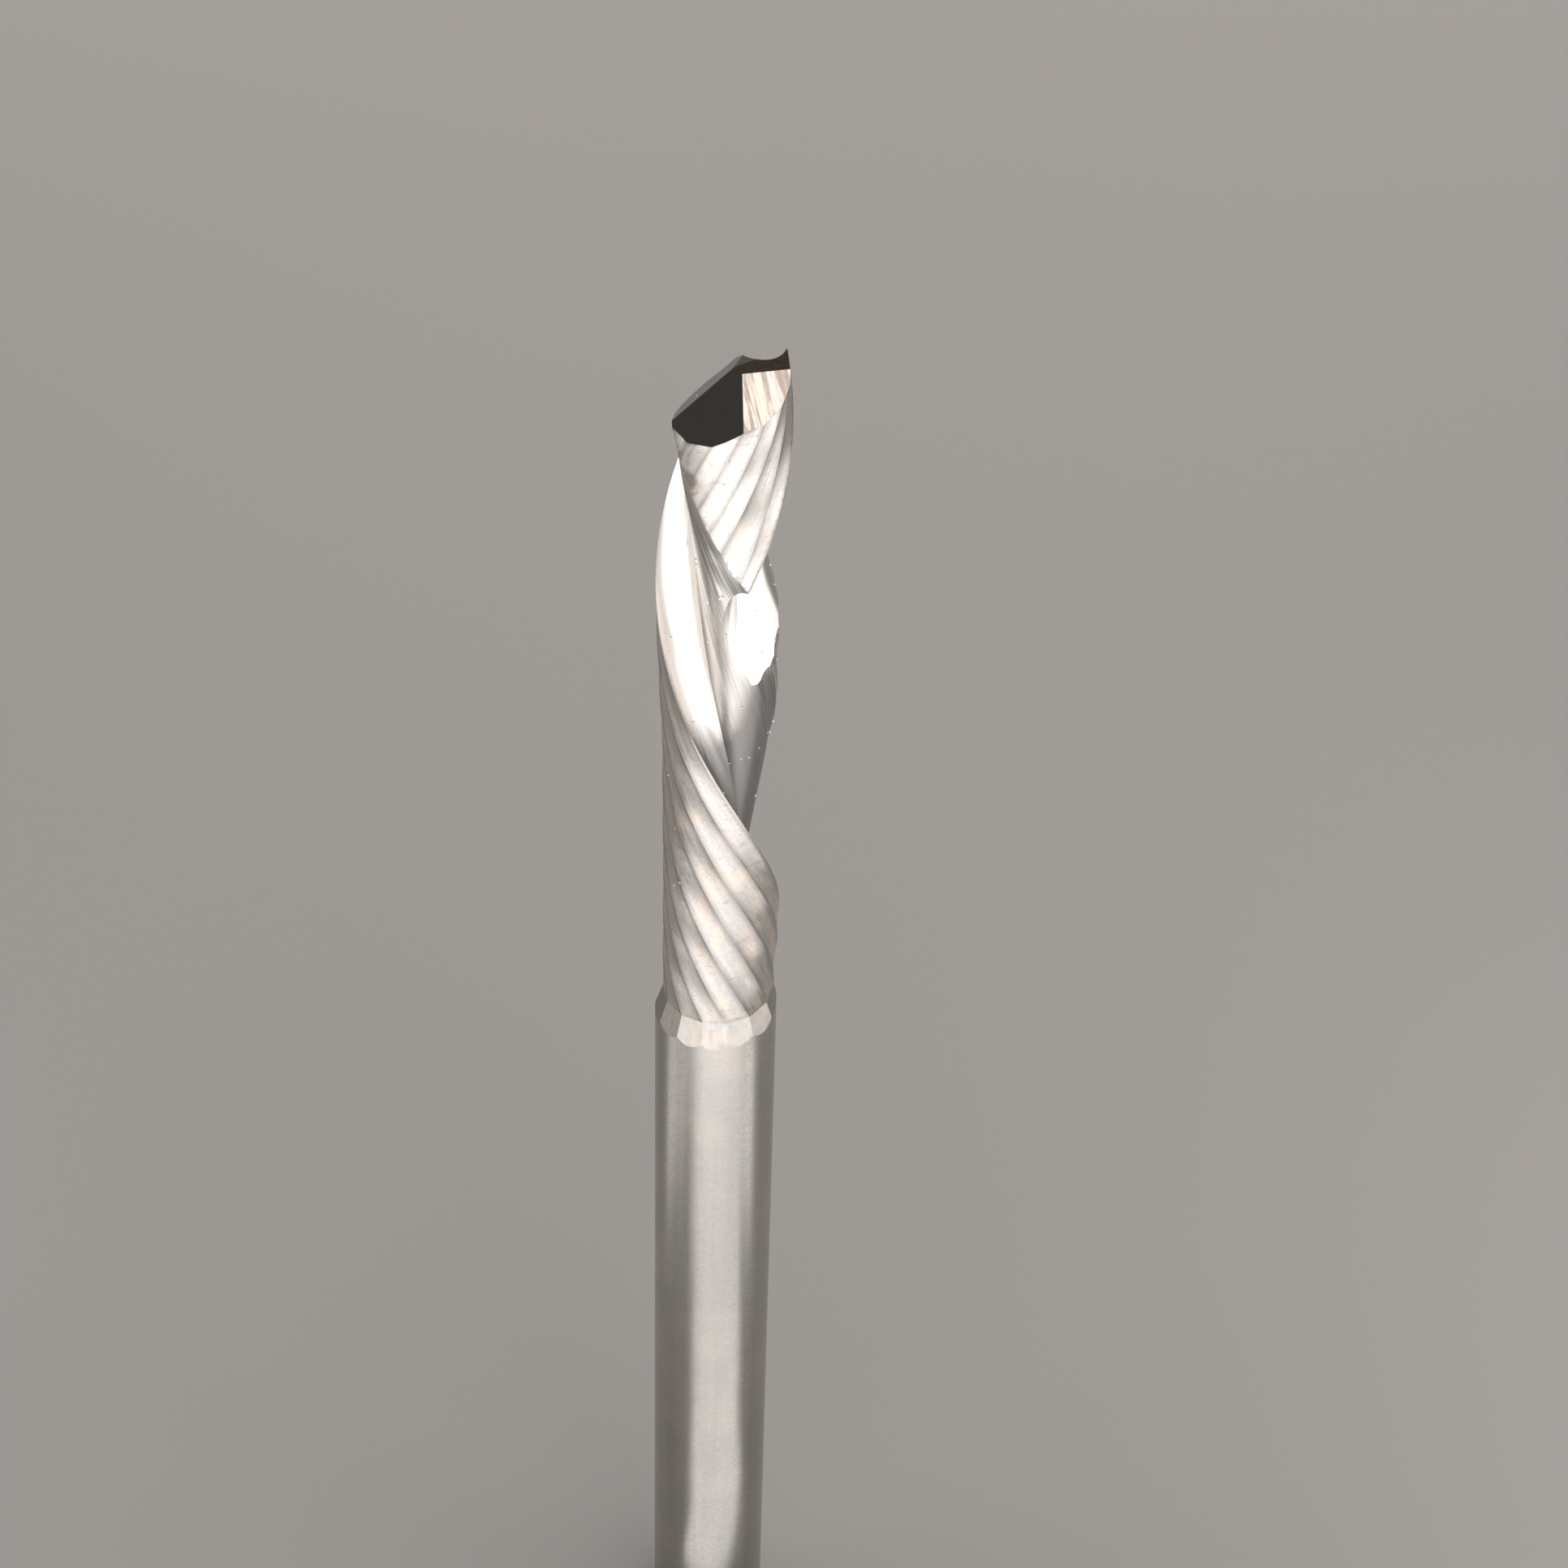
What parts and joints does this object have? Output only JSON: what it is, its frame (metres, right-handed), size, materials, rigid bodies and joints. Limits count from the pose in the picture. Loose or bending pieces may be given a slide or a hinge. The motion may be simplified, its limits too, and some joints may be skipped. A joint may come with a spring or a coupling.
{
  "type": "compression router bit",
  "caption": "Slim solid carbide router bit: a short up-cut spiral at the tip meets a long down-cut spiral, with ground facets behind the edges, a gashed end and a plain round shank.",
  "frame": {"origin": "middle of the flat end face of the shank, on the axis of the bit", "axes": "+Z along the axis from the shank to the cutting tip; the bit turns anticlockwise about +Z when it cuts, and +X is square to the direction the picture was taken from"},
  "size_m": [0.0032, 0.0032, 0.045],
  "materials": {
    "carbide": "ground and polished"
  },
  "bodies": {
    "root": {"router_bit": "carbide"}
  },
  "joints": []
}
